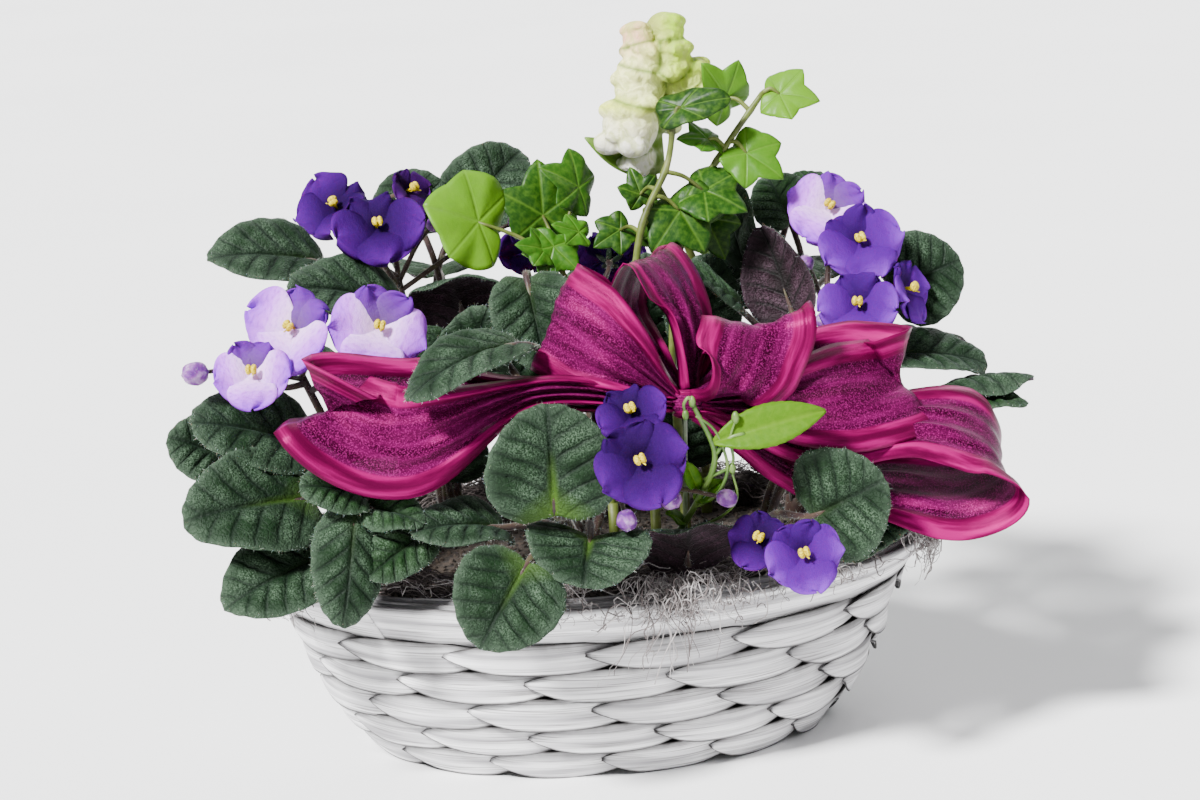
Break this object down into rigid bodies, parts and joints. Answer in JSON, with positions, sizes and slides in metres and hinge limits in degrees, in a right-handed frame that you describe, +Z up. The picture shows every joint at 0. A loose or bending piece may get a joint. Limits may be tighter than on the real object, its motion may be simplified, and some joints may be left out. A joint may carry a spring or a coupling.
{
  "type": "potted african violet",
  "caption": "Oval white-washed woven basket of african violets in flower, with ivy, a snapdragon spike and a wide organza bow on a wire.",
  "frame": {"origin": "middle of the basket's flat underside, which is the oval's centre", "axes": "+Z up, +X along the oval's long axis with the drooping bow loop at the +X end, and the front of the arrangement faces -Y"},
  "size_m": [0.383, 0.2873, 0.3211],
  "materials": {
    "white_wash": "matte lime-washed wood chip",
    "bare_wood": "matte bare wood",
    "liner_film": "thin black film",
    "soil": "damp peat compost",
    "wood_fibre": "dry curled wood fibre and moss",
    "violet_leaf": "softly hairy leaf",
    "petal_dark": "velvety petal",
    "petal_mid": "velvety petal",
    "petal_pale": "velvety petal",
    "petal_plum": "velvety petal",
    "pollen": "smooth anther",
    "ivy_leaf": "satin leaf",
    "shoot": "glossy leaf",
    "snapdragon_stem": "satin stem",
    "snapdragon_petal": "soft petal",
    "ribbon": "sheer organza with satin edges",
    "wire": "green enamelled wire"
  },
  "bodies": {
    "root": {"basket_base_and_stakes": "bare_wood", "weave_row_1": "white_wash", "weave_row_2": "white_wash", "weave_row_3": "white_wash", "weave_row_4": "white_wash", "weave_row_5": "white_wash", "rim_band_outer": "white_wash", "rim_band_inner": "white_wash", "liner": "liner_film", "violet_back_left_foliage": "violet_leaf", "violet_back_left_bloom_1": "petal_dark", "violet_back_left_anthers_1": "pollen", "violet_back_left_bloom_2": "petal_dark", "violet_back_left_anthers_2": "pollen", "violet_back_left_bloom_3": "petal_plum", "violet_back_left_anthers_3": "pollen", "violet_front_left_foliage": "violet_leaf", "violet_front_left_bloom_1": "petal_pale", "violet_front_left_anthers_1": "pollen", "violet_front_left_bloom_2": "petal_pale", "violet_front_left_anthers_2": "pollen", "violet_front_left_bloom_3": "petal_pale", "violet_front_left_anthers_3": "pollen", "violet_front_middle_foliage": "violet_leaf", "violet_front_middle_bloom_1": "petal_dark", "violet_front_middle_anthers_1": "pollen", "violet_front_middle_bloom_2": "petal_dark", "violet_front_middle_anthers_2": "pollen", "violet_front_right_foliage": "violet_leaf", "violet_front_right_bloom_1": "petal_dark", "violet_front_right_anthers_1": "pollen", "violet_front_right_bloom_2": "petal_mid", "violet_front_right_anthers_2": "pollen", "violet_back_right_foliage": "violet_leaf", "violet_back_right_bloom_1": "petal_pale", "violet_back_right_anthers_1": "pollen", "violet_back_right_bloom_2": "petal_mid", "violet_back_right_anthers_2": "pollen", "violet_back_right_bloom_3": "petal_mid", "violet_back_right_anthers_3": "pollen", "violet_back_right_bloom_4": "petal_mid", "violet_back_right_anthers_4": "pollen", "violet_back_middle_foliage": "violet_leaf", "violet_back_middle_bloom_1": "petal_dark", "violet_back_middle_anthers_1": "pollen", "violet_back_middle_bloom_2": "petal_dark", "violet_back_middle_anthers_2": "pollen", "ivy_stem_left": "ivy_leaf", "ivy_stem_tall": "ivy_leaf", "ivy_stem_right": "ivy_leaf", "snapdragon_stem": "snapdragon_stem", "snapdragon_spike": "snapdragon_petal", "green_shoot": "shoot", "ribbon_bow": "ribbon", "bow_wire": "wire", "soil": "soil", "fibre_nest": "wood_fibre"}
  },
  "joints": []
}
